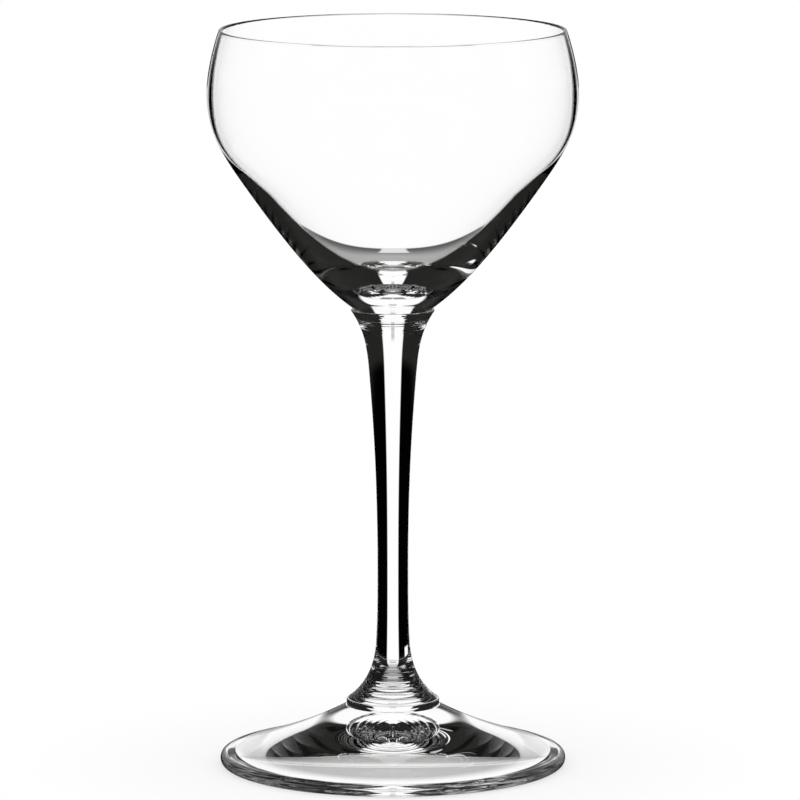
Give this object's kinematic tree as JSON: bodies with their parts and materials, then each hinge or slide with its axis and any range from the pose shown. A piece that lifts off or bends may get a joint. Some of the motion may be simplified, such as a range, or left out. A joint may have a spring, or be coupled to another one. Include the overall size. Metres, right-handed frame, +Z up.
{
  "type": "nick and nora glass",
  "caption": "Clear stemmed cocktail glass: a deep rounded bowl with a drawn-in rim on a slender solid stem and a round hollow foot.",
  "frame": {"origin": "centre of the foot's resting ring, on the table surface", "axes": "+Z up along the axis of the glass, from the foot to the rim; X and Y are free, because the glass is round"},
  "size_m": [0.0802, 0.0802, 0.161],
  "materials": {
    "clear_glass": "clear, polished"
  },
  "bodies": {
    "root": {"bowl": "clear_glass", "stem": "clear_glass", "foot": "clear_glass"}
  },
  "joints": []
}
